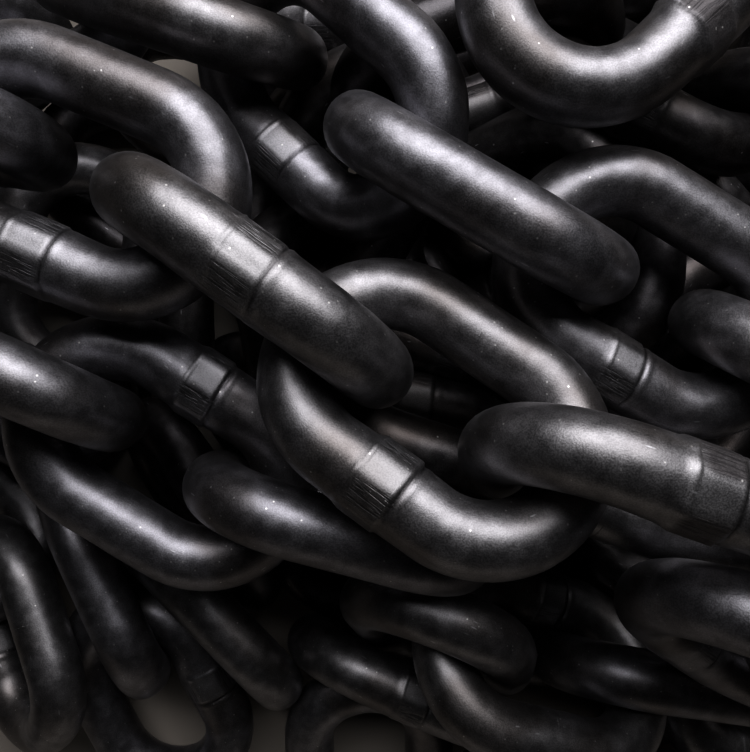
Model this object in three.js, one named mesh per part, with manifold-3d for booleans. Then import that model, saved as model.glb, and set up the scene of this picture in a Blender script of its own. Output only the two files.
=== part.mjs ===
import * as THREE from "three";
import Module from "manifold-3d";
import { mergeVertices } from "three/addons/utils/BufferGeometryUtils.js";

// Heap of 10 mm short-link lifting chain. Millimetres, +Z up, the heap lies on the floor at z = 0.

// One link: the wire's thickness, the inside length and the inside width.
const wire = 10;
const radius = wire / 2;
const insideLength = 30;
const insideWidth = 15;
const bend = (insideWidth + wire) / 2;
const straight = (insideLength - insideWidth) / 2;

// Facets of a link: steps round each bend and sides round the wire. The bends are drawn a little wide,
// so that their flat steps leave a hooked neighbour the full inside length.
const bendSteps = 8;
const sides = 8;
const bendSlack = 0.05;

// The gap left between two wires that rest on each other, and between a wire and the room inside.
const clearance = 0.12;
const wanted = wire + clearance;

// Two links whose middles are further apart than this cannot touch.
const outreach = insideLength + 3 * wire + 1;

// A link is as hard to turn as to move with this arm.
const swing = 16 ** 2;

// Settling: the rounds in all, the round from which nothing pulls any more, the share of the way back
// to its laid place that a seen link is pulled in a round, the sinking of an unseen link in a round,
// how far a seen link yields to an unseen one, and the leftover overlap that counts as none.
const rounds = 900;
const calmRound = 400;
const homePull = 0.03;
const sinking = 0.08;
const yielding = 0.2;
const leftover = 0.01;

// Lengths below this count as nothing.
const nothing = 1e-9;

// The middle of the heap. The places in the table are measured from the spot under the photograph's
// middle.
const middle = new THREE.Vector3(24, 16, 0);

// The seen links lie on the top of a ball that is cut flat by the floor: the room of the deep links.
const roomRadius = 78;
const roomHeight = 41;
const ballRadius = (roomRadius ** 2 + roomHeight ** 2) / (2 * roomHeight);
const ballDepth = ballRadius - roomHeight;

// The low dome under the deep links, the same kind of shape, and the facets it is drawn with.
const domeRadius = 64;
const domeHeight = 30;
const domeRings = 6;
const domeSides = 32;

// The deep links: rings of tightly drawn chain, each with its number of links, the height of their
// middles, the bearing of the first one and the roll that they take in turns.
const deepRings = [
  [12, 12, 5, 45],
  [6, 12, 20, 45],
  [8, 33, 10, 40],
  [3, 37, 0, 30],
];
const deepPitch = insideLength + 0.2;

// Single links in the pockets beside the rings: x, y, z, heading and roll, as in the strands' table.
const pocketLinks = [
  [-44, 60, 6, 25, 0],
  [-40, -28, 14, -50, 65],
  [-18, -36, 10, -50, 30],
  [45, -58, 5, 5, 0],
  [-54, 38, 5, -10, 0],
];

// Settling of the deep links: the points on a link's middle line, the rounds, how near the middles of
// two deep wires may come, how near a deep one may come to a seen one, how much of an overlap each of
// two deep links gives way, how hard a link is to turn, and how hard to tip over the floor.
const deepPoints = 32;
const deepRounds = 250;
const touching = wire - 0.1;
const passing = wire + 0.5;
const evenShare = 0.5;
const deepSwing = 200;
const tipping = 1.3;

// The deep links are drawn with few facets, and a little thick, so that those that touch grow together.
const deepRadius = 1.06 * radius;
const deepSides = 6;
const deepBendSteps = 4;

// Room that the core leaves round every other link, and the smallest detail it keeps.
const coreGap = 0.32;
const coreDetail = 0.1;

// Hand-laid places, strand by strand: name, x, y, z of the link's middle, heading, pitch and roll in
// degrees. The heading runs along the link, the pitch raises its leading end, the roll turns it about
// its length: 0 lies flat, 90 stands on edge. "seen" strands are in the photograph and stay close to
// their places; the rest sink until something carries them.
const strands = [
  { seen: true, links: [
    ["ridge_1", -87, 44, 36, -16, 52, 5],
    ["ridge_2", -67, 38, 58, -16, 22, 92],
    ["ridge_3", -43, 29, 67, -21, -2, 2],
    ["ridge_4", -17, 13, 65, -37, 0, 90],
    ["ridge_5", 9, -5, 64, -37, 5, -26],
    ["ridge_6", 38, -18, 72, -28, -3, 76],
    ["ridge_7", 55, -38, 60, -46, -30, 60],
    ["ridge_8", 72, -54, 45, -40, -45, 120],
  ] },
  { seen: true, links: [
    ["rear_1", -83, 59, 20, 36, 32, 80],
    ["rear_2", -60, 68, 34, 8, 24, -8],
    ["rear_3", -33, 62, 47, -13, 8, 112],
    ["rear_4", -6, 43, 56, -48, 10, 38],
    ["rear_5", 16, 20, 61, -30, 0, 106],
    ["rear_6", 43, 10, 59, -30, -6, -4],
    ["rear_7", 69, -1, 54, -24, -16, 104],
    ["rear_8", 89, -8, 39, -20, -50, 5],
  ] },
  { seen: true, links: [
    ["tail_1", 33, 55, 68, 43, 0, 0],
    ["tail_2", 54, 74, 60, 42, -24, 90],
    ["tail_3", 70, 89, 41, 46, -50, 10],
  ] },
  { seen: true, links: [
    ["front_1", -78, 9, 40, -18, 58, 0],
    ["front_2", -59, 3, 56, -22, 4, 79],
    ["front_3", -33, -13, 51, -34, 0, 8],
    ["front_4", -4, -25, 50, -28, -10, 88],
    ["front_5", 12, -48, 32, -78, -50, 30],
    ["spur_1", 30, -50, 34, -25, -10, -48],
    ["spur_2", 53, -55, 28, -20, -14, 70],
    ["spur_3", 78, -64, 17, -24, -16, 0],
  ] },
  { seen: true, links: [
    ["apron_1", -32, -51, 18, -50, 0, 54],
    ["apron_2", -54, -40, 18, -55, 0, 65],
    ["apron_3", 4, -62, 18, -22, 0, 69],
    ["apron_4", -45, -67, 12, -58, -16, 0],
    ["apron_5", -72, -52, 13, -63, 0, 35],
    ["apron_6", 0, -79, 12, -88, -16, 4],
    ["apron_7", 34, -78, 15, -12, 0, 60],
    ["apron_8", 64, -93, 6, 98, 0, 0],
  ] },
  { links: [
    ["rim_1", 106, -50, 12, 32, 0, 24],
    ["rim_2", 118, -31, 12, 64, 0, -38],
    ["rim_3", 125, -5, 12, 84, 0, 38],
    ["rim_4", 125, 22, 12, 96, 0, -38],
    ["rim_5", 117, 48, 12, 114, 0, 38],
    ["rim_6", 102, 71, 12, 128, 0, -38],
    ["rim_7", 82, 90, 12, 142, 0, 38],
    ["rim_8", 58, 104, 12, 158, 0, -38],
    ["rim_9", 31, 112, 12, 172, 0, 38],
    ["rim_10", 3, 113, 12, 184, 0, -38],
    ["rim_11", -24, 108, 12, 196, 0, 38],
    ["rim_12", -47, 97, 12, 212, 0, -38],
  ] },
  { links: [
    ["left_1", -99, 44, 12, -112, 0, 40],
    ["left_2", -106, 18, 12, -98, 0, -40],
    ["left_3", -105, -8, 12, -80, 0, 40],
    ["left_4", -95, -32, 12, -62, 0, -40],
  ] },
  { links: [
    ["under_1", -50, 20, 30, 65, 0, 25],
    ["under_2", -18, 88, 20, 5, 0, 60],
    ["under_3", -3, 74, 32, -12, 0, 10],
    ["under_4", 84, 54, 27, -58, 0, 30],
    ["under_5", 95, 29, 24, -66, 0, 70],
    ["under_6", -68, -6, 24, 60, 0, 45],
    ["under_7", 84, -28, 15, 62, 0, 35],
    ["under_8", 42, 82, 28, -20, 0, 20],
  ] },
];

// The middle line of a link, as corners in its own plane, with so many steps in each bend.
function bends(steps, slack) {
  const corners = [];
  for (const side of [1, -1]) {
    for (let step = 0; step <= steps; step += 1) {
      const angle = -Math.PI / 2 + (Math.PI * step) / steps + (side > 0 ? 0 : Math.PI);
      corners.push([side * straight + (bend + slack) * Math.cos(angle), (bend + slack) * Math.sin(angle)]);
    }
  }
  return corners;
}

// The middle line of every seen link.
const flat = bends(bendSteps, bendSlack);
const count = flat.length;
const longestStep = 2 * straight + bendSlack;

function turned(heading, pitch, roll) {
  const angle = (degrees) => (degrees * Math.PI) / 180;
  const turn = new THREE.Quaternion().setFromAxisAngle(new THREE.Vector3(0, 0, 1), angle(heading));
  turn.multiply(new THREE.Quaternion().setFromAxisAngle(new THREE.Vector3(0, 1, 0), angle(-pitch)));
  turn.multiply(new THREE.Quaternion().setFromAxisAngle(new THREE.Vector3(1, 0, 0), angle(roll)));
  return turn;
}

function laidLinks() {
  const links = [];
  for (const strand of strands) {
    for (const [name, x, y, z, heading, pitch, roll] of strand.links) {
      const place = new THREE.Vector3(x, y, z).sub(middle);
      const turn = turned(heading, pitch, roll);
      links.push({
        name,
        seen: Boolean(strand.seen),
        place,
        turn,
        home: place.clone(),
        homeTurn: turn.clone(),
        line: new Float64Array(count * 3),
      });
    }
  }
  return links;
}

// Puts the corners of a link's middle line where the link now lies.
function trace(link) {
  const point = new THREE.Vector3();
  for (let i = 0; i < count; i += 1) {
    point.set(flat[i][0], flat[i][1], 0).applyQuaternion(link.turn).add(link.place);
    link.line[3 * i] = point.x;
    link.line[3 * i + 1] = point.y;
    link.line[3 * i + 2] = point.z;
  }
}

// Closest points of two straight pieces of wire, written into found as ax ay az bx by bz.
const found = new Float64Array(6);
function closest(a, i, j, b, k, l) {
  const ux = a[j] - a[i];
  const uy = a[j + 1] - a[i + 1];
  const uz = a[j + 2] - a[i + 2];
  const vx = b[l] - b[k];
  const vy = b[l + 1] - b[k + 1];
  const vz = b[l + 2] - b[k + 2];
  const wx = a[i] - b[k];
  const wy = a[i + 1] - b[k + 1];
  const wz = a[i + 2] - b[k + 2];
  const uu = ux * ux + uy * uy + uz * uz;
  const vv = vx * vx + vy * vy + vz * vz;
  const uv = ux * vx + uy * vy + uz * vz;
  const uw = ux * wx + uy * wy + uz * wz;
  const vw = vx * wx + vy * wy + vz * wz;
  const spread = uu * vv - uv * uv;
  let s = spread > nothing ? (uv * vw - vv * uw) / spread : 0;
  s = Math.min(1, Math.max(0, s));
  let t = (uv * s + vw) / vv;
  if (t < 0) {
    t = 0;
    s = Math.min(1, Math.max(0, -uw / uu));
  } else if (t > 1) {
    t = 1;
    s = Math.min(1, Math.max(0, (uv - uw) / uu));
  }
  found[0] = a[i] + ux * s;
  found[1] = a[i + 1] + uy * s;
  found[2] = a[i + 2] + uz * s;
  found[3] = b[k] + vx * t;
  found[4] = b[k + 1] + vy * t;
  found[5] = b[k + 2] + vz * t;
  return Math.hypot(found[0] - found[3], found[1] - found[4], found[2] - found[5]);
}

// The tightest spot between two links, or null when they are well apart.
function tightest(first, second, reach) {
  const a = first.line;
  const b = second.line;
  const far = longestStep + reach;
  let best = null;
  for (let m = 0; m < count; m += 1) {
    const i = 3 * m;
    const j = 3 * ((m + 1) % count);
    for (let n = 0; n < count; n += 1) {
      const k = 3 * n;
      const l = 3 * ((n + 1) % count);
      const dx = a[i] + a[j] - b[k] - b[l];
      const dy = a[i + 1] + a[j + 1] - b[k + 1] - b[l + 1];
      const dz = a[i + 2] + a[j + 2] - b[k + 2] - b[l + 2];
      if (dx * dx + dy * dy + dz * dz > 4 * far * far) {
        continue;
      }
      const distance = closest(a, i, j, b, k, l);
      if (distance < reach && (best === null || distance < best.distance)) {
        best = { distance, at: Array.from(found) };
      }
    }
  }
  return best;
}

const arm = new THREE.Vector3();
const twist = new THREE.Vector3();
const small = new THREE.Quaternion();

// How readily a link gives way at a point.
function ease(link, weight, point, normal) {
  arm.copy(point).sub(link.place).cross(normal);
  return weight * (1 + arm.lengthSq() / swing);
}

// Moves and turns a link as a push at a point would.
function push(link, weight, point, normal, amount) {
  arm.copy(point).sub(link.place).cross(normal);
  link.place.addScaledVector(normal, weight * amount);
  twist.copy(arm).multiplyScalar((weight * amount) / swing);
  const angle = twist.length();
  if (angle > nothing) {
    small.setFromAxisAngle(twist.multiplyScalar(1 / angle), angle);
    link.turn.premultiply(small).normalize();
  }
  trace(link);
}

// Pushes two links apart where their wires come too close, and tells by how much.
function separate(first, second, firstWeight, secondWeight) {
  const spot = tightest(first, second, wanted);
  if (spot === null) {
    return 0;
  }
  const here = new THREE.Vector3(spot.at[0], spot.at[1], spot.at[2]);
  const there = new THREE.Vector3(spot.at[3], spot.at[4], spot.at[5]);
  const normal = here.clone().sub(there);
  if (normal.lengthSq() < nothing) {
    normal.set(0, 0, 1);
  }
  normal.normalize();
  const depth = wanted - spot.distance;
  const firstEase = ease(first, firstWeight, here, normal);
  const secondEase = ease(second, secondWeight, there, normal);
  const share = depth / (firstEase + secondEase);
  push(first, firstWeight, here, normal, share);
  push(second, secondWeight, there, normal, -share);
  return depth;
}

// Lifts a link off the floor and out of the deep links' room.
const up = new THREE.Vector3(0, 0, 1);
const ball = new THREE.Vector3(0, 0, -ballDepth);
function carry(link) {
  let worst = 0;
  let lowest = 0;
  for (let i = 1; i < count; i += 1) {
    if (link.line[3 * i + 2] < link.line[3 * lowest + 2]) {
      lowest = i;
    }
  }
  const under = radius - link.line[3 * lowest + 2];
  if (under > 0) {
    const point = new THREE.Vector3().fromArray(link.line, 3 * lowest);
    push(link, 1, point, up, under / ease(link, 1, point, up));
    worst = under;
  }
  const outside = ballRadius + radius + clearance;
  let nearest = Infinity;
  const spot = new THREE.Vector3();
  const start = new THREE.Vector3();
  const along = new THREE.Vector3();
  const candidate = new THREE.Vector3();
  for (let m = 0; m < count; m += 1) {
    start.fromArray(link.line, 3 * m);
    along.fromArray(link.line, 3 * ((m + 1) % count)).sub(start);
    const t = candidate.copy(ball).sub(start).dot(along) / along.lengthSq();
    candidate.copy(start).addScaledVector(along, Math.min(1, Math.max(0, t)));
    const distance = candidate.distanceTo(ball);
    if (distance < nearest) {
      nearest = distance;
      spot.copy(candidate);
    }
  }
  if (nearest < outside) {
    const normal = spot.clone().sub(ball).normalize();
    push(link, 1, spot, normal, (outside - nearest) / ease(link, 1, spot, normal));
    worst = Math.max(worst, outside - nearest);
  }
  return worst;
}

// Pulls a seen link back towards its laid place and lets an unseen one sink.
function draw(link) {
  if (link.seen) {
    link.place.lerp(link.home, homePull);
    link.turn.slerp(link.homeTurn, homePull);
  } else {
    link.place.z -= sinking;
  }
  trace(link);
}

// Lets the hand-laid links find their rest, with room made wherever two wires would share the same
// steel.
function settle(links) {
  links.forEach(trace);
  for (let round = 0; round < rounds; round += 1) {
    const calm = round > calmRound;
    if (!calm) {
      links.forEach(draw);
    }
    let worst = 0;
    for (let i = 0; i < links.length; i += 1) {
      for (let j = i + 1; j < links.length; j += 1) {
        if (links[i].place.distanceTo(links[j].place) < outreach) {
          const first = links[i].seen && !links[j].seen ? yielding : 1;
          const second = links[j].seen && !links[i].seen ? yielding : 1;
          worst = Math.max(worst, separate(links[i], links[j], first, second));
        }
      }
    }
    for (const link of links) {
      worst = Math.max(worst, carry(link));
    }
    if (calm && worst < leftover) {
      return;
    }
  }
}

// A link's skin: rings of corners round the wire at every corner of the middle line.
function linkGeometry(corners, wireRadius, wireSides) {
  const points = [];
  const faces = [];
  for (let i = 0; i < corners.length; i += 1) {
    const before = corners[(i + corners.length - 1) % corners.length];
    const after = corners[(i + 1) % corners.length];
    const here = corners[i];
    const into = new THREE.Vector2(here[0] - before[0], here[1] - before[1]).normalize();
    const out = new THREE.Vector2(after[0] - here[0], after[1] - here[1]).normalize();
    const along = into.add(out).normalize();
    for (let k = 0; k < wireSides; k += 1) {
      const angle = (2 * Math.PI * (k + 0.5)) / wireSides;
      const sideways = wireRadius * Math.cos(angle);
      points.push(here[0] + along.y * sideways, here[1] - along.x * sideways, wireRadius * Math.sin(angle));
      const next = (i + 1) % corners.length;
      const turn = (k + 1) % wireSides;
      faces.push(i * wireSides + k, next * wireSides + k, next * wireSides + turn);
      faces.push(i * wireSides + k, next * wireSides + turn, i * wireSides + turn);
    }
  }
  const geometry = new THREE.BufferGeometry();
  geometry.setAttribute("position", new THREE.Float32BufferAttribute(points, 3));
  geometry.setIndex(faces);
  geometry.computeVertexNormals();
  return geometry;
}

// Points at even steps along the middle line of a link lying flat round the origin.
function evenPoints() {
  const roundTrip = 4 * straight + 2 * Math.PI * bend;
  const within = (value, high) => Math.min(high, Math.max(0, value));
  const points = [];
  for (let k = 0; k < deepPoints; k += 1) {
    const gone = (k * roundTrip) / deepPoints;
    const afterBend = gone - straight - Math.PI * bend;
    const afterAll = gone - 3 * straight - 2 * Math.PI * bend;
    const angle = within((gone - straight) / bend, Math.PI)
      + within((afterBend - 2 * straight) / bend, Math.PI);
    const forward = within(gone, straight) + within(afterAll, straight) - within(afterBend, 2 * straight);
    points.push(new THREE.Vector3(forward + bend * Math.sin(angle), bend * Math.cos(angle), 0));
  }
  return points;
}

function laidDeepLinks() {
  const links = [];
  for (const [number, height, first, roll] of deepRings) {
    const ringRadius = deepPitch / 2 / Math.sin(Math.PI / number);
    for (let k = 0; k < number; k += 1) {
      const bearing = first + (360 * k) / number;
      const angle = (bearing * Math.PI) / 180;
      const place = new THREE.Vector3(ringRadius * Math.cos(angle), ringRadius * Math.sin(angle), height);
      links.push({ place, turn: turned(bearing + 90, 0, k % 2 ? roll : -roll) });
    }
  }
  for (const [x, y, z, heading, roll] of pocketLinks) {
    links.push({ place: new THREE.Vector3(x, y, z).sub(middle), turn: turned(heading, 0, roll) });
  }
  return links;
}

// Moves the deep links until no wire runs through another, through a link above or through the floor.
function settleDeep(deep, outer) {
  const even = evenPoints();
  const laid = (link) => even.map((point) => point.clone().applyQuaternion(link.turn).add(link.place));
  const fixed = outer.map((link) => ({ place: link.place, points: laid(link), near: passing, share: 1 }));
  const away = new THREE.Vector3();
  const reach = new THREE.Vector3();
  for (let round = 0; round < deepRounds; round += 1) {
    const moving = deep.map((link) => (
      { place: link.place.clone(), points: laid(link), near: touching, share: evenShare }
    ));
    const all = moving.concat(fixed);
    deep.forEach((link, own) => {
      const move = new THREE.Vector3();
      const spin = new THREE.Vector3();
      const middleNow = moving[own].place;
      let depths = 0;
      for (const other of all) {
        if (other === moving[own] || other.place.distanceTo(middleNow) > outreach) {
          continue;
        }
        for (const mine of moving[own].points) {
          for (const theirs of other.points) {
            away.copy(mine).sub(theirs);
            const distance = away.length();
            if (distance < other.near) {
              const depth = other.near - distance;
              depths += depth;
              away.multiplyScalar((depth * depth * other.share) / Math.max(distance, nothing));
              move.add(away);
              spin.add(reach.copy(mine).sub(middleNow).cross(away));
            }
          }
        }
      }
      if (depths > 0) {
        move.divideScalar(depths);
        spin.divideScalar(depths * deepSwing);
      }
      const lowest = moving[own].points.reduce((low, point) => (point.z < low.z ? point : low));
      const lift = (radius - lowest.z) / 2;
      if (lift > 0) {
        move.z += lift;
        reach.copy(lowest).sub(middleNow).cross(up);
        spin.addScaledVector(reach, lift / (tipping * deepSwing));
      }
      link.place.add(move);
      const angle = spin.length();
      if (angle > nothing) {
        small.setFromAxisAngle(spin.multiplyScalar(1 / angle), angle);
        link.turn.premultiply(small).normalize();
      }
    });
  }
}

// A low dome with a flat underside.
function domeGeometry() {
  const ballOfDome = (domeRadius ** 2 + domeHeight ** 2) / (2 * domeHeight);
  const profile = [new THREE.Vector2(0, 0), new THREE.Vector2(domeRadius, 0)];
  const rise = Math.asin(domeRadius / ballOfDome);
  for (let step = 1; step <= domeRings; step += 1) {
    const angle = rise * (1 - step / domeRings);
    const height = ballOfDome * Math.cos(angle) - ballOfDome + domeHeight;
    profile.push(new THREE.Vector2(ballOfDome * Math.sin(angle), height));
  }
  profile[profile.length - 1].x = 0;
  return new THREE.LatheGeometry(profile, domeSides).rotateX(Math.PI / 2);
}

const wasm = await Module();
wasm.setup();

function solidOf(geometry, place, turn) {
  const bare = geometry.clone();
  bare.deleteAttribute("normal");
  bare.deleteAttribute("uv");
  const merged = mergeVertices(bare);
  merged.applyQuaternion(turn);
  merged.translate(place.x, place.y, place.z);
  const mesh = new wasm.Mesh({
    numProp: 3,
    vertProperties: new Float32Array(merged.attributes.position.array),
    triVerts: new Uint32Array(merged.index.array),
  });
  return new wasm.Manifold(mesh);
}

// The core: the deep links grown together with the low dome, with room left round every other link.
function coreGeometry(deep, outer) {
  const deepShape = linkGeometry(bends(deepBendSteps, 0), deepRadius, deepSides);
  const still = new THREE.Quaternion();
  const parts = deep.map((link) => solidOf(deepShape, link.place, link.turn));
  parts.push(solidOf(domeGeometry(), new THREE.Vector3(), still));
  const roomShape = linkGeometry(flat, radius + coreGap, sides);
  const rooms = outer.map((link) => solidOf(roomShape, link.place, link.turn));
  const joined = wasm.Manifold.union(parts).subtract(wasm.Manifold.union(rooms));
  const pieces = joined.trimByPlane([0, 0, 1], 0).asOriginal().simplify(coreDetail).decompose();
  const biggest = pieces.reduce((best, piece) => (piece.volume() > best.volume() ? piece : best));
  const { vertProperties, triVerts } = biggest.getMesh();
  const geometry = new THREE.BufferGeometry();
  geometry.setAttribute("position", new THREE.Float32BufferAttribute(vertProperties, 3));
  geometry.setIndex(Array.from(triVerts));
  geometry.computeVertexNormals();
  return geometry;
}

const steel = new THREE.MeshStandardMaterial({ color: 0x4a4a50, metalness: 0.9, roughness: 0.4 });
const dark = new THREE.MeshStandardMaterial({ color: 0x1c1c20, metalness: 0.6, roughness: 0.7 });
const heap = new THREE.Group();
heap.name = "chain_heap";

const links = laidLinks();
settle(links);
const shape = linkGeometry(flat, radius, sides);
for (const link of links) {
  const mesh = new THREE.Mesh(shape.clone(), steel);
  mesh.name = `link_${link.name}`;
  mesh.position.copy(link.place);
  mesh.quaternion.copy(link.turn);
  heap.add(mesh);
}

const deepLinks = laidDeepLinks();
settleDeep(deepLinks, links);
const core = new THREE.Mesh(coreGeometry(deepLinks, links), dark);
core.name = "core";
heap.add(core);

export default heap;
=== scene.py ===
"""Heap of short-link lifting chain: black satin steel links with their weld collars, lying on the floor."""

import math

import bpy
import numpy as np
from mathutils import Matrix, Vector


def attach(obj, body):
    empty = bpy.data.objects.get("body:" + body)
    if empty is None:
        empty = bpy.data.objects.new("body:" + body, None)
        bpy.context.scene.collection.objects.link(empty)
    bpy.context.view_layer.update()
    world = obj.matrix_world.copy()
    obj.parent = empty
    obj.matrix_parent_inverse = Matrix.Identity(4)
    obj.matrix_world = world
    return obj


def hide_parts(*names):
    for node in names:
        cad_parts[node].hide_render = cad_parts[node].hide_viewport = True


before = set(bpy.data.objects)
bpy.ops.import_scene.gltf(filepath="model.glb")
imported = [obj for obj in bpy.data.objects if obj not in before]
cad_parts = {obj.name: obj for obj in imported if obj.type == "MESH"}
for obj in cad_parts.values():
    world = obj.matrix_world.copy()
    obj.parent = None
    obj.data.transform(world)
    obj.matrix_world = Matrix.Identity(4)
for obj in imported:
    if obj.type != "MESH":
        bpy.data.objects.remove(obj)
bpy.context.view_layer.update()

WHOLE_TURN = 2 * math.pi
MILLIMETRES = 1000.0

# Sizes of one link, in metres.
WIRE = 0.010
INSIDE_LENGTH = 0.030
INSIDE_WIDTH = 0.015
BEND = (INSIDE_WIDTH + WIRE) / 2
HALF_LEG = (INSIDE_LENGTH - INSIDE_WIDTH) / 2
ROUND_TRIP = 4 * HALF_LEG + WHOLE_TURN * BEND

# The wire swells a little at the weld: by how much, how far from the weld it is still at its thickest,
# and how far away it is plain again.
SWELLING = 0.00016
SWELLING_FADES = (0.0015, 0.0095)

# The weld's collar: its length, its height and its number of flats; the least and the most share of its
# length that lies on either side, and of its height; and how far its ends run askew.
COLLAR_LENGTH = 0.0052
COLLAR_HEIGHT = 0.0004
COLLAR_FLATS = 8.0
COLLAR_SHARES = (0.42, 0.56)
COLLAR_LIFTS = (0.7, 1.4)
COLLAR_SKEW = 0.0004

# The rise to the collar: how far outside the blunt end and the sharp end it begins, how far inside them
# it is done, and how far from the weld's middle the one kind of end gives way to the other.
BLUNT_END, SHARP_END, RISE_DONE = 0.0014, 0.00014, 0.00018
ENDS_CHANGE = 0.001

# A lip at one end of the collar, and a seam and a bead at the other: how far outside the end each lies,
# how far each way it reaches, and how high it stands. The seam's dark mark reaches a little further.
LIP = (0.0, 0.00028, 0.00016)
SEAM = (0.0003, 0.00024, -0.00016)
BEAD = (0.0011, 0.0006, 0.0001)
SEAM_MARK_REACH = 0.0003

# How unevenly the flats lie round the wire, in radians, how unevenly the lip, seam and bead run out
# round it, and how squarely the wire faces the trimmed side where they begin and where they are full.
FLATS_WARP, BESIDE_WARP = 0.10, 0.35
BESIDE_FACES = (0.1, 0.6)

# Dents: their depth, how many lie along a metre, and how far a seed shifts them.
DENT_DEPTH = 0.00022
DENTS_PER_METRE = 130.0
DENT_SHIFT = 1.7

# A link's own number, from 0 to 1, gives more such numbers when it is multiplied by these and the
# whole part dropped: for the collar's length, its height and skew, its flats and the steel's tint.
SHUFFLES = (7.31, 13.7, 29.3)
TINT_SHUFFLE = 17.9

# The spot that the camera looks down on, and its height, in the heap's own measures.
CAMERA = (-0.024, -0.016, 0.160)

# The deep links: rings of chain, each with its number of links, the height of their middles, the
# bearing of the first one and the roll that they take in turns.
DEEP_RINGS = ((12, 0.012, 5, 45), (6, 0.012, 20, 45), (8, 0.033, 10, 40), (3, 0.037, 0, 30))
DEEP_PITCH = INSIDE_LENGTH + 0.0002

# Single links in the pockets beside the rings, measured from the spot under the camera: x, y, z,
# heading and roll.
POCKET_LINKS = (
    (-0.044, 0.060, 0.006, 25, 0),
    (-0.040, -0.028, 0.014, -50, 65),
    (-0.018, -0.036, 0.010, -50, 30),
    (0.045, -0.058, 0.005, 5, 0),
    (-0.054, 0.038, 0.005, -10, 0),
)

# How far apart settling tries to bring the middles of two deep wires, and of a deep and an outer one;
# how far a link can reach, how hard a deep link is to turn, and how hard to tip over the floor.
TOUCHING = WIRE - 0.0001
PASSING = WIRE + 0.0005
REACH = 0.036
DEEP_SWING = 200e-6
TIPPING = 1.3

LINE_SPOTS = 32
DEEP_ROUNDS, QUICK_ROUNDS = 250, 60

# Below this, a length or an angle counts as nothing.
NOTHING = 1e-9

# Where the softbox stands, and what it is aimed at.
SOFTBOX = (0.035, 0.32, 0.405)
SOFTBOX_AIM = (0.0, 0.0, 0.04)

# Links whose weld is burnt dark and rough, and how far round the wire each weld's main flat lies from
# where it would catch the light best, in degrees: for some links their own, for the rest in turns.
BURNT_WELDS = ("link_ridge_6", "link_tail_1", "link_rear_7", "link_left_2")
OWN_FLAT_TURNS = {
    "link_ridge_6": 26, "link_tail_1": -50, "link_ridge_4": 9, "link_ridge_5": -7, "link_ridge_3": 4,
    "link_rear_6": -5, "link_rear_4": 6,
}
FLAT_TURNS = (12, -16, 5, 22, -9, 0, -24, 16)

# A link's weld is on the leg nearer to the camera or, where both are about as near, on this side.
WELDED_SIDE = (-0.3, -0.3, 0.0)

# Links whose weld is on their other leg.
WELD_TURNED_AWAY = {
    "link_rear_2", "link_rear_3", "link_rear_5", "link_front_2", "link_front_4", "link_front_5",
    "link_front_3", "link_spur_1", "link_spur_2", "link_ridge_2", "link_ridge_7",
    "link_apron_1", "link_apron_2", "link_apron_5",
}


# Building blocks for node trees


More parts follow.
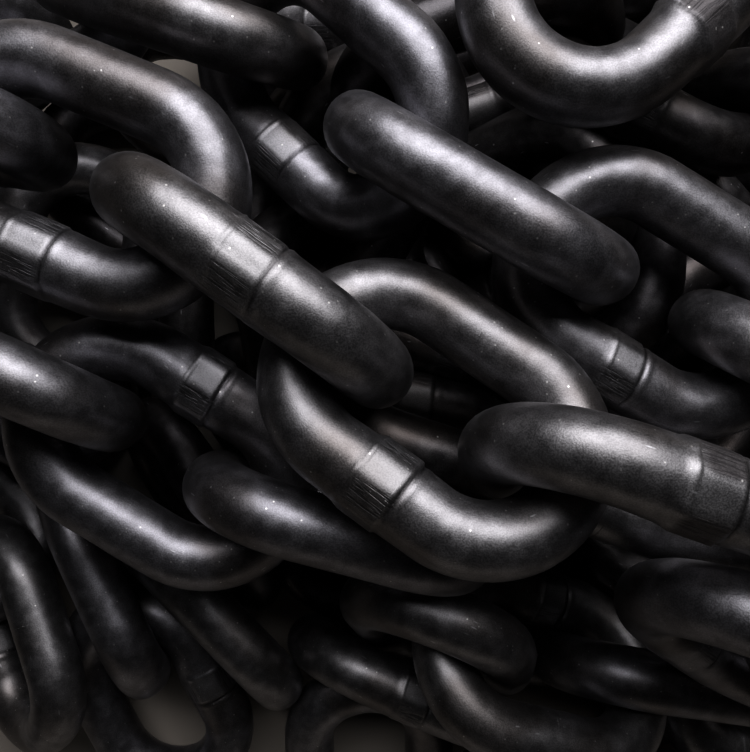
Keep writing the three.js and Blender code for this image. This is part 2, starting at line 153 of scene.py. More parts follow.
class Tree:
    """Adds nodes to a tree and wires them."""

    def __init__(self, tree):
        self.tree = tree
        self.across = 0

    def add(self, kind, **settings):
        node = self.tree.nodes.new(kind)
        self.across += 1
        node.location = (180 * (self.across % 12), -220 * (self.across // 12))
        for name, value in settings.items():
            setattr(node, name, value)
        return node

    def wire(self, value, socket):
        if isinstance(value, bpy.types.NodeSocket):
            self.tree.links.new(value, socket)
        else:
            socket.default_value = value

    def reckon(self, operation, *values):
        node = self.add("ShaderNodeMath", operation=operation)
        for value, socket in zip(values, node.inputs):
            self.wire(value, socket)
        return node.outputs[0]

    def times(self, first, second):
        return self.reckon("MULTIPLY", first, second)

    def plus(self, first, second):
        return self.reckon("ADD", first, second)

    def minus(self, first, second):
        return self.reckon("SUBTRACT", first, second)

    def over(self, first, second):
        return self.reckon("DIVIDE", first, second)

    def within(self, value, low, high):
        node = self.add("ShaderNodeClamp")
        self.wire(value, node.inputs["Value"])
        self.wire(low, node.inputs["Min"])
        self.wire(high, node.inputs["Max"])
        return node.outputs[0]

    def ramp(self, value, low, high, first=0.0, last=1.0, smooth=True):
        node = self.add("ShaderNodeMapRange", interpolation_type="SMOOTHSTEP" if smooth else "LINEAR")
        for name, given in (("Value", value), ("From Min", low), ("From Max", high),
                            ("To Min", first), ("To Max", last)):
            self.wire(given, node.inputs[name])
        return node.outputs["Result"]

    def join(self, x, y, z):
        node = self.add("ShaderNodeCombineXYZ")
        for value, socket in zip((x, y, z), node.inputs):
            self.wire(value, socket)
        return node.outputs[0]

    def split(self, vector):
        node = self.add("ShaderNodeSeparateXYZ")
        self.wire(vector, node.inputs[0])
        return node.outputs

    def scaled(self, vector, factor):
        node = self.add("ShaderNodeVectorMath", operation="SCALE")
        self.wire(vector, node.inputs[0])
        self.wire(factor, node.inputs["Scale"])
        return node.outputs[0]

    def add_up(self, vector, other):
        node = self.add("ShaderNodeVectorMath", operation="ADD")
        self.wire(vector, node.inputs[0])
        self.wire(other, node.inputs[1])
        return node.outputs[0]

    def noise(self, vector, scale, detail=2.0, roughness=0.5, w=None):
        node = self.add("ShaderNodeTexNoise", noise_dimensions="4D" if w is not None else "3D")
        self.wire(vector, node.inputs["Vector"])
        self.wire(scale, node.inputs["Scale"])
        self.wire(detail, node.inputs["Detail"])
        self.wire(roughness, node.inputs["Roughness"])
        if w is not None:
            self.wire(w, node.inputs["W"])
        return node.outputs[0]

    def named(self, name):
        node = self.add("GeometryNodeInputNamedAttribute", data_type="FLOAT")
        node.inputs["Name"].default_value = name
        return node.outputs["Attribute"]

    def fraction(self, value, times):
        return self.reckon("FRACT", self.times(value, times))

    def hump(self, distance, place, reach, height):
        return self.ramp(self.reckon("ABSOLUTE", self.minus(distance, place)), reach, 0.0, 0.0, height)

    def mix(self, factor, first, second, blend="MIX"):
        node = self.add("ShaderNodeMix", data_type="RGBA", blend_type=blend)
        self.wire(factor, node.inputs[0])
        self.wire(first, node.inputs[6])
        self.wire(second, node.inputs[7])
        return node.outputs[2]


# The chain: one forged and welded link, repeated along a strand


def chain_tree():
    """Geometry nodes: a link at every point, turned as the point says, with its weld collar and dents."""
    tree = bpy.data.node_groups.new("chain_strand", "GeometryNodeTree")
    inputs = (
        ("Geometry", "NodeSocketGeometry", None),
        ("Wire", "NodeSocketFloat", WIRE),
        ("Bend", "NodeSocketFloat", BEND),
        ("Half Leg", "NodeSocketFloat", HALF_LEG),
        ("Rings", "NodeSocketInt", 128),
        ("Sides", "NodeSocketInt", 32),
        ("Crowding", "NodeSocketFloat", 0.72),
        ("Collar Length", "NodeSocketFloat", COLLAR_LENGTH),
        ("Collar Height", "NodeSocketFloat", COLLAR_HEIGHT),
        ("Collar Flats", "NodeSocketFloat", COLLAR_FLATS),
        ("Dent Depth", "NodeSocketFloat", DENT_DEPTH),
        ("Seed", "NodeSocketInt", 7),
        ("Steel", "NodeSocketMaterial", None),
    )
    for name, kind, value in inputs:
        socket = tree.interface.new_socket(name, in_out="INPUT", socket_type=kind)
        if value is not None:
            socket.default_value = value
    tree.interface.new_socket("Geometry", in_out="OUTPUT", socket_type="NodeSocketGeometry")
    t = Tree(tree)
    given = t.add("NodeGroupInput").outputs
    done = t.add("NodeGroupOutput")

    # The middle line of the wire, starting in the middle of the welded leg. The rings crowd at the weld.
    line = t.add("GeometryNodeCurvePrimitiveLine")
    even = t.add("GeometryNodeResampleCurve")
    t.wire(line.outputs[0], even.inputs["Curve"])
    t.wire(given["Rings"], even.inputs["Count"])
    closed = t.add("GeometryNodeSetSplineCyclic")
    t.wire(even.outputs[0], closed.inputs["Geometry"])
    closed.inputs["Cyclic"].default_value = True
    index = t.add("GeometryNodeInputIndex").outputs[0]
    share = t.over(index, given["Rings"])
    wave = t.reckon("SINE", t.times(share, WHOLE_TURN))
    crowded = t.minus(share, t.times(wave, t.over(given["Crowding"], WHOLE_TURN)))
    bend_length = t.times(given["Bend"], math.pi)
    whole = t.plus(t.times(given["Half Leg"], 4.0), t.times(bend_length, 2.0))
    gone = t.times(crowded, whole)
    after_leg = t.minus(gone, given["Half Leg"])
    after_bend = t.minus(after_leg, bend_length)
    two_legs = t.times(given["Half Leg"], 2.0)
    after_far_leg = t.minus(after_bend, two_legs)
    after_all = t.minus(after_far_leg, bend_length)
    first_bend = t.within(t.over(after_leg, given["Bend"]), 0.0, math.pi)
    second_bend = t.within(t.over(after_far_leg, given["Bend"]), 0.0, math.pi)
    angle = t.plus(first_bend, second_bend)
    last_piece = t.within(after_all, 0.0, given["Half Leg"])
    forward = t.plus(t.within(gone, 0.0, given["Half Leg"]), last_piece)
    sideways = t.minus(forward, t.within(after_bend, 0.0, two_legs))
    x = t.plus(sideways, t.times(given["Bend"], t.reckon("SINE", angle)))
    y = t.times(given["Bend"], t.reckon("COSINE", angle))
    laid = t.add("GeometryNodeSetPosition")
    t.wire(closed.outputs[0], laid.inputs["Geometry"])
    t.wire(t.join(x, y, 0.0), laid.inputs["Position"])

    # How far each ring lies from the weld, along the wire.
    past_half = t.reckon("GREATER_THAN", gone, t.times(whole, 0.5))
    from_weld = t.minus(gone, t.times(past_half, whole))
    kept = t.add("GeometryNodeStoreNamedAttribute", data_type="FLOAT", domain="POINT")
    t.wire(laid.outputs[0], kept.inputs["Geometry"])
    kept.inputs["Name"].default_value = "from_weld"
    t.wire(from_weld, kept.inputs["Value"])
    distance = t.reckon("ABSOLUTE", from_weld)
    swollen = t.ramp(distance, SWELLING_FADES[1], SWELLING_FADES[0], 0.0, SWELLING)
    thickness = t.plus(t.times(given["Wire"], 0.5), swollen)

    # The wire's round section, which remembers its angle.
    section = t.add("GeometryNodeCurvePrimitiveCircle", mode="RADIUS")
    t.wire(given["Sides"], section.inputs["Resolution"])
    section.inputs["Radius"].default_value = 1.0
    around = t.times(t.add("GeometryNodeSplineParameter").outputs["Factor"], WHOLE_TURN)
    marked = t.add("GeometryNodeStoreNamedAttribute", data_type="FLOAT", domain="POINT")
    t.wire(section.outputs[0], marked.inputs["Geometry"])
    marked.inputs["Name"].default_value = "around"
    t.wire(around, marked.inputs["Value"])
    swept = t.add("GeometryNodeCurveToMesh")
    t.wire(kept.outputs[0], swept.inputs["Curve"])
    t.wire(marked.outputs[0], swept.inputs["Profile Curve"])
    t.wire(thickness, swept.inputs["Scale"])

    # One link at every point of the strand, each with a number of its own.
    turned = t.add("GeometryNodeInputNamedAttribute", data_type="QUATERNION")
    turned.inputs["Name"].default_value = "turn"
    placed = t.add("GeometryNodeInstanceOnPoints")
    t.wire(given["Geometry"], placed.inputs["Points"])
    t.wire(swept.outputs[0], placed.inputs["Instance"])
    t.wire(turned.outputs["Attribute"], placed.inputs["Rotation"])
    chance = t.add("FunctionNodeRandomValue", data_type="FLOAT")
    t.wire(given["Seed"], chance.inputs["Seed"])
    numbered = t.add("GeometryNodeStoreNamedAttribute", data_type="FLOAT", domain="INSTANCE")
    t.wire(placed.outputs[0], numbered.inputs["Geometry"])
    numbered.inputs["Name"].default_value = "own"
    t.wire(chance.outputs[1], numbered.inputs["Value"])
    real = t.add("GeometryNodeRealizeInstances")
    t.wire(numbered.outputs[0], real.inputs[0])

    # How squarely each spot of a wire faces the side on which its weld was trimmed first.
    skin = t.add("GeometryNodeInputNormal").outputs[0]
    trimmed = t.add("GeometryNodeInputNamedAttribute", data_type="FLOAT_VECTOR")
    trimmed.inputs["Name"].default_value = "trimmed_side"
    towards = t.add("ShaderNodeVectorMath", operation="DOT_PRODUCT")
    t.wire(skin, towards.inputs[0])
    t.wire(trimmed.outputs["Attribute"], towards.inputs[1])
    faced = t.add("GeometryNodeStoreNamedAttribute", data_type="FLOAT", domain="POINT")
    t.wire(real.outputs[0], faced.inputs["Geometry"])
    faced.inputs["Name"].default_value = "facing"
    t.wire(towards.outputs["Value"], faced.inputs["Value"])

    # The collar: uneven flats trimmed along the wire, between ends that don't run quite straight.
    from_weld, around, own, facing = (t.named(name) for name in ("from_weld", "around", "own", "facing"))
    first, second, third = (t.fraction(own, shuffle) for shuffle in SHUFFLES)
    slant = t.reckon("SINE", t.plus(around, t.times(second, WHOLE_TURN)))
    place_along = t.plus(from_weld, t.times(slant, COLLAR_SKEW))
    half_collar = t.times(given["Collar Length"], t.ramp(first, 0.0, 1.0, *COLLAR_SHARES))
    edge = t.minus(t.reckon("ABSOLUTE", place_along), half_collar)
    begins = t.ramp(place_along, -ENDS_CHANGE, ENDS_CHANGE, BLUNT_END, SHARP_END)
    collar = t.ramp(edge, begins, -RISE_DONE)
    flat = t.over(WHOLE_TURN, given["Collar Flats"])
    warp = t.reckon("SINE", t.plus(around, t.times(third, WHOLE_TURN)))
    away = t.reckon("ARCCOSINE", t.within(facing, -1.0, 1.0))
    half_flat = t.times(flat, 0.5)
    uneven_turn = t.plus(t.plus(away, t.times(warp, FLATS_WARP)), half_flat)
    on_flat = t.minus(t.reckon("FLOORED_MODULO", uneven_turn, flat), half_flat)
    drop = t.over(t.reckon("COSINE", half_flat), t.reckon("COSINE", on_flat))
    half_wire = t.times(given["Wire"], 0.5)
    lift = t.times(given["Collar Height"], t.ramp(second, 0.0, 1.0, *COLLAR_LIFTS))
    proud = t.minus(t.times(t.plus(half_wire, lift), drop), half_wire)

    # Beside it, a lip on one end, and a seam and a low bead on the other, that fade round the wire.
    fade = t.ramp(t.plus(facing, t.times(warp, BESIDE_WARP)), *BESIDE_FACES)
    past_end = t.minus(place_along, half_collar)
    lip = t.hump(t.plus(place_along, half_collar), *LIP)
    seam = t.hump(past_end, *SEAM)
    bead = t.hump(past_end, *BEAD)
    beside = t.times(t.plus(t.plus(lip, seam), bead), fade)
    raised = t.add("GeometryNodeSetPosition")
    t.wire(faced.outputs[0], raised.inputs["Geometry"])
    t.wire(t.scaled(skin, t.plus(t.times(collar, proud), beside)), raised.inputs["Offset"])
    rod = t.add("GeometryNodeStoreNamedAttribute", data_type="FLOAT_VECTOR", domain="POINT")
    t.wire(raised.outputs[0], rod.inputs["Geometry"])
    rod.inputs["Name"].default_value = "rod"
    cosine, sine = t.reckon("COSINE", around), t.reckon("SINE", around)
    t.wire(t.join(t.times(from_weld, MILLIMETRES), cosine, sine), rod.inputs["Value"])
    marks = t.add("GeometryNodeStoreNamedAttribute", data_type="FLOAT_VECTOR", domain="POINT")
    t.wire(rod.outputs[0], marks.inputs["Geometry"])
    marks.inputs["Name"].default_value = "weld"
    ring = t.times(t.hump(past_end, SEAM[0], SEAM_MARK_REACH, 1.0), fade)
    t.wire(t.join(collar, ring, own), marks.inputs["Value"])

    # Shallow dents and hammered unevenness.
    place = t.add("GeometryNodeInputPosition").outputs[0]
    shift = t.times(given["Seed"], DENT_SHIFT)
    uneven = t.minus(t.noise(place, DENTS_PER_METRE, detail=2.0, roughness=0.5, w=shift), 0.5)
    dented = t.add("GeometryNodeSetPosition")
    t.wire(marks.outputs[0], dented.inputs["Geometry"])
    t.wire(t.scaled(skin, t.times(uneven, given["Dent Depth"])), dented.inputs["Offset"])
    smooth = t.add("GeometryNodeSetShadeSmooth")
    t.wire(dented.outputs[0], smooth.inputs[0])
    steel = t.add("GeometryNodeSetMaterial")
    t.wire(smooth.outputs[0], steel.inputs["Geometry"])
    t.wire(given["Steel"], steel.inputs["Material"])
    t.wire(steel.outputs[0], done.inputs["Geometry"])
    return tree


def strand(name, places, steel, **sizes):
    """A mesh of links, one at each (name, middle, axes) of places."""
    points = bpy.data.meshes.new(name + "_points")
    points.from_pydata([tuple(middle) for _, middle, _ in places], [], [])
    for title, kind in (("turn", "QUATERNION"), ("trimmed_side", "FLOAT_VECTOR"), ("burnt", "FLOAT")):
        points.attributes.new(title, kind, "POINT")
    for k, (link_name, middle, axes) in enumerate(places):
        points.attributes["turn"].data[k].value = quaternion_of(axes)
        flat_turn = OWN_FLAT_TURNS.get(link_name, FLAT_TURNS[k % len(FLAT_TURNS)])
        points.attributes["trimmed_side"].data[k].vector = trimmed_side(middle, axes, flat_turn)
        points.attributes["burnt"].data[k].value = float(link_name in BURNT_WELDS)
    maker = bpy.data.objects.new(name + "_points", points)
    bpy.context.scene.collection.objects.link(maker)
    modifier = maker.modifiers.new("chain", "NODES")
    modifier.node_group = CHAIN
    named = {item.name: item.identifier for item in CHAIN.interface.items_tree if item.in_out == "INPUT"}
    modifier[named["Steel"]] = steel
    for title, value in sizes.items():
        modifier[named[title.replace("_", " ").title()]] = value
    bpy.context.view_layer.update()
    mesh = bpy.data.meshes.new_from_object(maker.evaluated_get(bpy.context.evaluated_depsgraph_get()))
    mesh.name = name
    maker.modifiers.clear()
    bpy.data.objects.remove(maker)
    piece = bpy.data.objects.new(name, mesh)
    bpy.context.scene.collection.objects.link(piece)
    return piece


# Where the links lie


def quaternion_of(columns):
    """Quaternion (w, x, y, z) of a turn whose columns are the link's axes."""
    return tuple(Matrix(columns.tolist()).to_quaternion())


def trimmed_side(middle, axes, turn):
    """Direction square to a link's legs: halfway between camera and softbox, then turned, in degrees."""
    halfway = np.zeros(3)
    for spot in (CAMERA, SOFTBOX):
        ray = np.array(spot) - middle
        halfway += ray / np.linalg.norm(ray)
    halfway -= axes[:, 0] * (halfway @ axes[:, 0])
    halfway /= np.linalg.norm(halfway)
    return tuple(spin(halfway, axes[:, 0] * math.radians(turn)))


def lie_of(node):
    """Middle and axes of a CAD link: along it, across it to the welded leg, and out of its face."""
    corners = np.empty(len(node.data.vertices) * 3)
    node.data.vertices.foreach_get("co", corners)
    corners = corners.reshape(-1, 3)
    middle = corners.mean(0)
    _, axes = np.linalg.eigh(np.cov((corners - middle).T))
    along, across = axes[:, 2], axes[:, 1]
    if along[0] < 0:
        along = -along
    sight = np.array(CAMERA) - middle
    sight /= np.linalg.norm(sight)
    if across @ (sight + np.array(WELDED_SIDE)) < 0:
        across = -across
    if node.name in WELD_TURNED_AWAY:
        across = -across
    return middle, np.stack([along, across, np.cross(along, across)], 1)


def middle_line(count):
    """Points along the middle line of a link lying flat round the origin."""
    gone = np.arange(count) * ROUND_TRIP / count
    bends = math.pi * BEND
    angle = np.clip((gone - HALF_LEG) / BEND, 0, math.pi)
    angle += np.clip((gone - 3 * HALF_LEG - bends) / BEND, 0, math.pi)
    x = np.clip(gone, 0, HALF_LEG) + np.clip(gone - 3 * HALF_LEG - 2 * bends, 0, HALF_LEG)
    x += BEND * np.sin(angle) - np.clip(gone - HALF_LEG - bends, 0, 2 * HALF_LEG)
    return np.stack([x, BEND * np.cos(angle), 0 * gone], 1)


def axes_of(heading, roll):
    """Axes of a level link with this heading, rolled about its length, both in degrees."""
    heading, roll = math.radians(heading), math.radians(roll)
    along = np.array([math.cos(heading), math.sin(heading), 0.0])
    aside = np.array([-math.sin(heading), math.cos(heading), 0.0])
    across = aside * math.cos(roll) + np.array([0.0, 0.0, math.sin(roll)])
    return np.stack([along, across, np.cross(along, across)], 1)


def spin(axes, turn):
    """The axes after a small turn, given as a vector along its axle."""
    angle = np.linalg.norm(turn)
    if angle < NOTHING:
        return axes
    x, y, z = turn / angle
    cross = np.array([[0, -z, y], [z, 0, -x], [-y, x, 0]])
    return (np.eye(3) + math.sin(angle) * cross + (1 - math.cos(angle)) * cross @ cross) @ axes


def deep_links():
    """Links laid inside the heap: rings of tightly drawn chain, and single links in the pockets."""
    links = []
    for number, height, first, roll in DEEP_RINGS:
        radius = DEEP_PITCH / 2 / math.sin(math.pi / number)
        for k in range(number):
            bearing = first + 360 * k / number
            angle = math.radians(bearing)
            place = np.array([radius * math.cos(angle), radius * math.sin(angle), height])
            links.append([place, axes_of(bearing + 90, roll if k % 2 else -roll)])
    for x, y, z, heading, roll in POCKET_LINKS:
        place = np.array([x, y, z]) + (CAMERA[0], CAMERA[1], 0)
        links.append([place, axes_of(heading, roll)])
    return links


def settled(links, outside, rounds):
    """Moves the deep links away from each other, the outer ones and the floor, for a number of rounds.

    It doesn't free them all: after the full rounds, deep wires still run up to 2 mm into each other and
    up to 1.1 mm into outer ones.
    """
    line = middle_line(LINE_SPOTS)
    fixed = np.concatenate([line @ axes.T + middle for middle, axes in outside])
    count = len(line)
    owner = np.repeat(np.arange(len(links)), count)
    owners = np.concatenate([owner, np.full(len(fixed), -1)])
    nearest = np.where(owners < 0, PASSING, TOUCHING)
    share = np.where(owners < 0, 1.0, 0.5)
    for _ in range(rounds):
        moving = np.concatenate([line @ axes.T + middle for middle, axes in links])
        everything = np.concatenate([moving, fixed])
        steps = []
        for k, (middle, _) in enumerate(links):
            mine = moving[k * count:(k + 1) * count]
            near = (np.abs(everything - middle).max(1) < REACH) & (owners != k)
            apart = mine[:, None] - everything[near][None]
            distance = np.linalg.norm(apart, axis=2)
            depth = nearest[near] - distance
            i, j = np.nonzero(depth > 0)
            push, turn = np.zeros(3), np.zeros(3)
            if len(i):
                depth = depth[i, j]
                away = apart[i, j] / np.maximum(distance[i, j], NOTHING)[:, None]
                parts = away * (depth ** 2 * share[near][j] / depth.sum())[:, None]
                push = parts.sum(0)
                turn = np.cross(mine[i] - middle, parts).sum(0) / DEEP_SWING
            lowest = mine[mine[:, 2].argmin()]
            lift = (WIRE / 2 - lowest[2]) / 2
            if lift > 0:
                push = push + (0, 0, lift)
                turn = turn + np.cross(lowest - middle, (0, 0, lift)) / (TIPPING * DEEP_SWING)
            steps.append((push, turn))
        for link, (push, turn) in zip(links, steps):
            link[0] = link[0] + push
            link[1] = spin(link[1], turn)
    return links


# Black chain steel

# What a colour mark takes of the steel under it, and its colour: those that lie under the fine grain,
# then those that lie on it.
MARKS_UNDER_GRAIN = (
    ("Stain", 0.5, (0.085, 0.070, 0.060)),
    ("Collar", 0.12, (0.36, 0.355, 0.365)),
    ("Flat", 0.3, (0.26, 0.258, 0.265)),
    ("Burnt", 0.8, (0.085, 0.078, 0.080)),
    ("Groove", 0.6, (0.05, 0.047, 0.05)),
    ("Seam", 0.85, (0.02, 0.018, 0.02)),
)
MARKS_ON_GRAIN = (
    ("Nick", 0.7, (0.5, 0.5, 0.52)),
    ("Speck", 0.8, (0.62, 0.61, 0.6)),
)

METALLIC = 0.95

# How much a mark adds to the roughness, counted from its own middle value: mark, middle and share.
ROUGHER = (("Cloud", 0.5, 0.10), ("Grain", 0.5, 0.20), ("Flat", 0.0, 0.05), ("Burnt", 0.0, 0.2))

# Tints between which the links differ, how the grain darkens and lightens the steel, and the values of
# the clouds' noise and the grain's that bring the extremes.
OLIVE_TINT = (1.015, 1.005, 0.98, 1)
VIOLET_TINT = (0.985, 0.985, 1.015, 1)
GRAIN_SHADES = (0.80, 1.20)
CLOUD_VALUES = (0.3, 0.7)
GRAIN_VALUES = (0.36, 0.64)

# Relief of the finish, as shares of its depth, and that depth in metres.
GRAIN_RELIEF, CLOUD_RELIEF, GROOVE_RELIEF, BURNT_RELIEF = 0.15, 0.08, 0.4, 2.0
RELIEF_DEPTH = 0.00016
RELIEF_STRENGTH = 0.6

# How squarely the wire faces the trimmed side, where the main flat begins and where it is full; where
# the grooves and the burnt patch beside it do; and where the grooves run out further round the wire.
FLAT_FACES = (0.90, 0.94)
BESIDE_FLAT_FACES = (0.93, 0.86)
FLANK_FACES = (0.15, 0.5)

# Grooves: how far from the weld they run and up to where they are in full, in millimetres; how far their
# noise moves on along the wire, round it and from link to link, and its scale; and the values of it
# between which a groove deepens.
GROOVE_REACH, GROOVE_FULL = 3.4, 1.6
GROOVE_ALONG, GROOVE_ROUND, GROOVE_SHIFT, GROOVE_SCALE = 0.12, 8.0, 40.0, 2.2
GROOVE_VALUES = (0.48, 0.62)

# Noise: the size of the grain in metres, and how many clouds, patches and specks lie along a metre.
GRAIN_SIZE = 0.0002
CLOUDS, PATCHES, SPECKS = 420.0, 95.0, 1100.0

# The values of the patches' noise between which a stain darkens, which share of the cells holds a speck
# at full dust, and how far from its middle a speck fades, as shares of a cell.
STAIN_VALUES = (0.46, 0.70)
SPECKLED = 0.12
SPECK_FADES = (0.20, 0.07)

# Nicks: how fast their cells follow on along the wire, round it and over the heap, how far the patches
# bend them, which share of the cells holds none, and how far from its middle a nick fades.
NICK_ALONG, NICK_ROUND, NICK_OVER, NICK_BEND = 0.26, 5.5, 12.0, 3.0
UNNICKED = 0.90
NICK_FADES = (0.17, 0.06)


def weld_group():
    """Marks of the weld: collar, main flat, seam, grooves and burnt patch; and a tint of the link's own."""
    tree = bpy.data.node_groups.new("weld_marks", "ShaderNodeTree")
    reach = tree.interface.new_socket("Groove Reach", in_out="INPUT", socket_type="NodeSocketFloat")
    reach.default_value = GROOVE_REACH
    for name in ("Collar", "Flat", "Seam", "Groove", "Burnt", "Tint"):
        tree.interface.new_socket(name, in_out="OUTPUT", socket_type="NodeSocketFloat")
    t = Tree(tree)
    given = t.add("NodeGroupInput").outputs
    done = t.add("NodeGroupOutput")
    rod = t.add("ShaderNodeAttribute", attribute_name="rod", attribute_type="GEOMETRY").outputs["Vector"]
    weld = t.add("ShaderNodeAttribute", attribute_name="weld", attribute_type="GEOMETRY").outputs["Vector"]
    along, cosine, sine = t.split(rod)
    collar, ring, own = t.split(weld)
    t.wire(t.fraction(own, TINT_SHUFFLE), done.inputs["Tint"])
    t.wire(collar, done.inputs["Collar"])
    t.wire(ring, done.inputs["Seam"])
    facing = t.add("ShaderNodeAttribute", attribute_name="facing", attribute_type="GEOMETRY").outputs["Fac"]
    burnt = t.add("ShaderNodeAttribute", attribute_name="burnt", attribute_type="GEOMETRY").outputs["Fac"]
    t.wire(t.times(collar, t.ramp(facing, *FLAT_FACES)), done.inputs["Flat"])
    drawn_along = t.plus(t.times(along, GROOVE_ALONG), t.times(own, GROOVE_SHIFT))
    drawn = t.join(drawn_along, t.times(cosine, GROOVE_ROUND), t.times(sine, GROOVE_ROUND))
    stripes = t.ramp(t.noise(drawn, GROOVE_SCALE, detail=1.0, roughness=0.6), *GROOVE_VALUES)
    zone = t.ramp(t.reckon("ABSOLUTE", along), given["Groove Reach"], GROOVE_FULL)
    beside_flat = t.ramp(facing, *BESIDE_FLAT_FACES)
    flank = t.times(beside_flat, t.ramp(facing, *FLANK_FACES))
    t.wire(t.times(t.times(stripes, zone), flank), done.inputs["Groove"])
    t.wire(t.times(t.times(burnt, zone), beside_flat), done.inputs["Burnt"])
    return tree


def wear_group():
    """Grain, dust specks, nicks and stains that cover the steel."""
    tree = bpy.data.node_groups.new("steel_wear", "ShaderNodeTree")
    for name, value in (("Grain Size", GRAIN_SIZE), ("Dust", 0.5)):
        tree.interface.new_socket(name, in_out="INPUT", socket_type="NodeSocketFloat").default_value = value
    for name in ("Grain", "Cloud", "Stain", "Speck", "Nick"):
        tree.interface.new_socket(name, in_out="OUTPUT", socket_type="NodeSocketFloat")
    t = Tree(tree)
    given = t.add("NodeGroupInput").outputs
    done = t.add("NodeGroupOutput")
    place = t.add("ShaderNodeTexCoord").outputs["Object"]
    grains = t.over(1.0, given["Grain Size"])
    t.wire(t.noise(place, grains, detail=1.0, roughness=0.6), done.inputs["Grain"])
    t.wire(t.noise(place, CLOUDS, detail=1.0, roughness=0.62), done.inputs["Cloud"])
    patches = t.noise(place, PATCHES, detail=0.0)
    t.wire(t.ramp(patches, *STAIN_VALUES), done.inputs["Stain"])
    cells = t.add("ShaderNodeTexVoronoi", feature="F1")
    t.wire(place, cells.inputs["Vector"])
    cells.inputs["Scale"].default_value = SPECKS
    bound = t.minus(1.0, t.times(given["Dust"], SPECKLED))
    chosen = t.reckon("GREATER_THAN", t.split(cells.outputs["Color"])[0], bound)
    spot = t.ramp(cells.outputs["Distance"], *SPECK_FADES)
    t.wire(t.times(chosen, spot), done.inputs["Speck"])

    # Short nicks that run roughly along the wire.
    rod = t.add("ShaderNodeAttribute", attribute_name="rod", attribute_type="GEOMETRY").outputs["Vector"]
    along, cosine, sine = t.split(rod)
    bent = t.times(patches, NICK_BEND)
    y, z = (t.plus(t.times(side, NICK_ROUND), bent) for side in (cosine, sine))
    drawn = t.join(t.times(along, NICK_ALONG), y, z)
    streaks = t.add("ShaderNodeTexVoronoi", feature="F1")
    t.wire(t.add_up(drawn, t.scaled(place, NICK_OVER)), streaks.inputs["Vector"])
    streaks.inputs["Scale"].default_value = 1.0
    rare = t.reckon("GREATER_THAN", t.split(streaks.outputs["Color"])[1], UNNICKED)
    t.wire(t.times(rare, t.ramp(streaks.outputs["Distance"], *NICK_FADES)), done.inputs["Nick"])
    return tree


def chain_steel(name, dark, light, roughness, dust):
    """Satin black steel of the chain, brighter and grooved at the weld."""
    material = bpy.data.materials.new(name)
    material.use_nodes = True
    material.node_tree.nodes.clear()
    t = Tree(material.node_tree)
    surface = t.add("ShaderNodeBsdfPrincipled")
    output = t.add("ShaderNodeOutputMaterial")
    t.wire(surface.outputs[0], output.inputs["Surface"])
    wear = t.add("ShaderNodeGroup", node_tree=WEAR)
    wear.inputs["Dust"].default_value = dust
    weld = t.add("ShaderNodeGroup", node_tree=WELD)
    marks = {socket.name: socket for group in (wear, weld) for socket in group.outputs}
    steel = t.mix(t.ramp(marks["Cloud"], *CLOUD_VALUES), (*dark, 1), (*light, 1))
    steel = t.mix(1.0, steel, t.mix(marks["Tint"], OLIVE_TINT, VIOLET_TINT), "MULTIPLY")
    for title, share, colour in MARKS_UNDER_GRAIN:
        steel = t.mix(t.times(marks[title], share), steel, (*colour, 1))
    shade = t.ramp(marks["Grain"], *GRAIN_VALUES, *GRAIN_SHADES, smooth=False)
    steel = t.mix(1.0, steel, t.join(shade, shade, shade), "MULTIPLY")
    for title, share, colour in MARKS_ON_GRAIN:
        steel = t.mix(t.times(marks[title], share), steel, (*colour, 1))
    t.wire(steel, surface.inputs["Base Color"])
    surface.inputs["Metallic"].default_value = METALLIC
    gloss = roughness
    for title, middle, share in ROUGHER:
        gloss = t.plus(gloss, t.times(t.minus(marks[title], middle), share))
    t.wire(t.within(gloss, 0.0, 1.0), surface.inputs["Roughness"])
    height = t.times(marks["Grain"], GRAIN_RELIEF)
    height = t.plus(height, t.times(marks["Cloud"], CLOUD_RELIEF))
    height = t.minus(height, t.times(marks["Groove"], GROOVE_RELIEF))
    height = t.plus(height, t.times(t.times(marks["Burnt"], marks["Cloud"]), BURNT_RELIEF))
    bump = t.add("ShaderNodeBump")
    bump.inputs["Strength"].default_value = RELIEF_STRENGTH
    bump.inputs["Distance"].default_value = RELIEF_DEPTH
    t.wire(height, bump.inputs["Height"])
    t.wire(bump.outputs[0], surface.inputs["Normal"])
    return material


CHAIN = chain_tree()
WELD = weld_group()
WEAR = wear_group()
black_steel = chain_steel("black_chain_steel", dark=(0.173, 0.1705, 0.180), light=(0.247, 0.244, 0.257),
                          roughness=0.42, dust=1.0)
# The deep links take the same steel painted several times darker, as painted shade for the inside of the
# heap, and with less dust.
shaded_deep_steel = chain_steel("shaded_deep_chain_steel", dark=(0.055, 0.052, 0.055), light=(0.095, 0.091, 0.094),
                         roughness=0.42, dust=0.3)

FIRST_SEED, DEEP_SEED = 7, 31

strands = {}
outer = []
for node_name, node in sorted(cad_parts.items()):
    if node_name == "core":
        continue
    lie = lie_of(node)
    outer.append(lie)
    strands.setdefault(node_name.split("_")[1], []).append((node_name, *lie))

for number, (strand_name, members) in enumerate(strands.items()):
    piece = strand("chain_" + strand_name, members, black_steel, seed=FIRST_SEED + number)
    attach(piece, "root")
    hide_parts(*[node_name for node_name, _, _ in members])

inside = settled(deep_links(), outer, DEEP_ROUNDS)
# The deep links are drawn in the darker steel that carries their painted shade.
deep = strand("chain_inside", [("inside", middle, axes) for middle, axes in inside], shaded_deep_steel,
              rings=96, sides=16, crowding=0.65, seed=DEEP_SEED)
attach(deep, "root")
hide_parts("core")


# Floor, light and camera


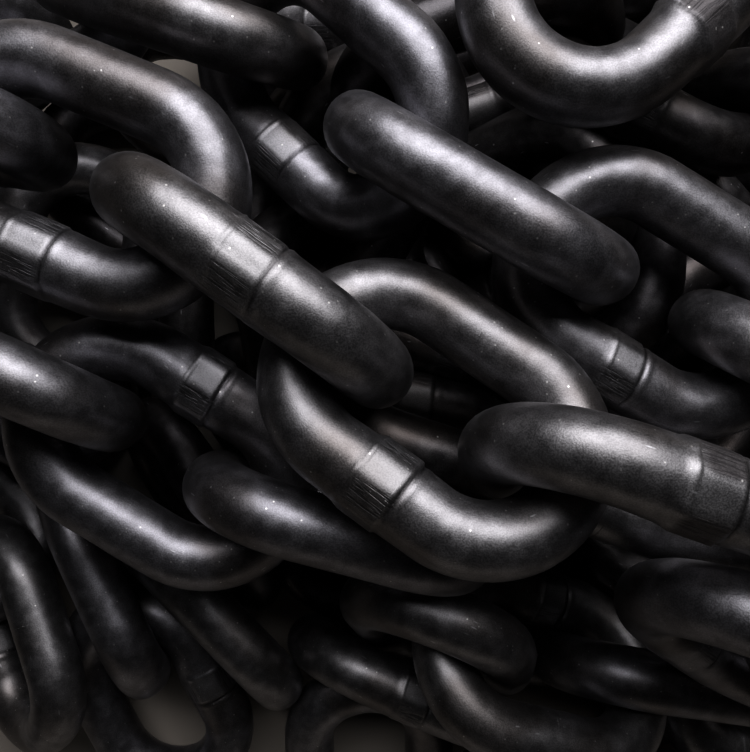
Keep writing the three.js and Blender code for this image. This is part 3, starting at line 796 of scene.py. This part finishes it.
FLOOR_HALF_WIDTH = 2
FLOOR_COLOUR = (0.25, 0.225, 0.198, 1)
FLOOR_ROUGHNESS = 0.8
WORLD_COLOUR = (0.9, 0.93, 1.0, 1)
WORLD_STRENGTH = 0.005
SENSOR_WIDTH = 36.0
LENS = 33.6
CONTRAST_GAMMA = 0.80


def area_light(name, place, target, size, power, colour):
    light = bpy.data.lights.new(name, "AREA")
    light.shape = "RECTANGLE"
    light.size, light.size_y = size
    light.energy = power
    light.color = colour
    lamp = bpy.data.objects.new(name, light)
    bpy.context.scene.collection.objects.link(lamp)
    lamp.location = place
    lamp.rotation_euler = (Vector(target) - Vector(place)).to_track_quat("-Z", "Y").to_euler()


floor_mesh = bpy.data.meshes.new("floor")
corners = [(x * FLOOR_HALF_WIDTH, y * FLOOR_HALF_WIDTH, 0) for x, y in ((-1, -1), (1, -1), (1, 1), (-1, 1))]
floor_mesh.from_pydata(corners, [], [(0, 1, 2, 3)])
floor = bpy.data.objects.new("floor", floor_mesh)
bpy.context.scene.collection.objects.link(floor)
pale = bpy.data.materials.new("pale_floor")
pale.use_nodes = True
pale.node_tree.nodes["Principled BSDF"].inputs["Base Color"].default_value = FLOOR_COLOUR
pale.node_tree.nodes["Principled BSDF"].inputs["Roughness"].default_value = FLOOR_ROUGHNESS
floor_mesh.materials.append(pale)

world = bpy.data.worlds.new("studio")
bpy.context.scene.world = world
world.use_nodes = True
world.node_tree.nodes["Background"].inputs["Color"].default_value = WORLD_COLOUR
world.node_tree.nodes["Background"].inputs["Strength"].default_value = WORLD_STRENGTH
area_light("softbox", SOFTBOX, target=SOFTBOX_AIM, size=(0.54, 0.40), power=4.2, colour=(1.0, 0.985, 1.0))
area_light("fill", (-0.10, -0.85, 0.15), target=(0, 0, 0.03), size=(1.1, 0.26), power=0.32,
           colour=(1.0, 0.90, 0.80))

camera_data = bpy.data.cameras.new("camera")
camera_data.sensor_fit = "HORIZONTAL"
camera_data.sensor_width = SENSOR_WIDTH
camera_data.lens = LENS
camera_data.clip_start = 0.005
camera = bpy.data.objects.new("camera", camera_data)
bpy.context.scene.collection.objects.link(camera)
camera.location = CAMERA
bpy.context.scene.camera = camera
bpy.context.scene.view_settings.view_transform = "Standard"
bpy.context.scene.view_settings.gamma = CONTRAST_GAMMA
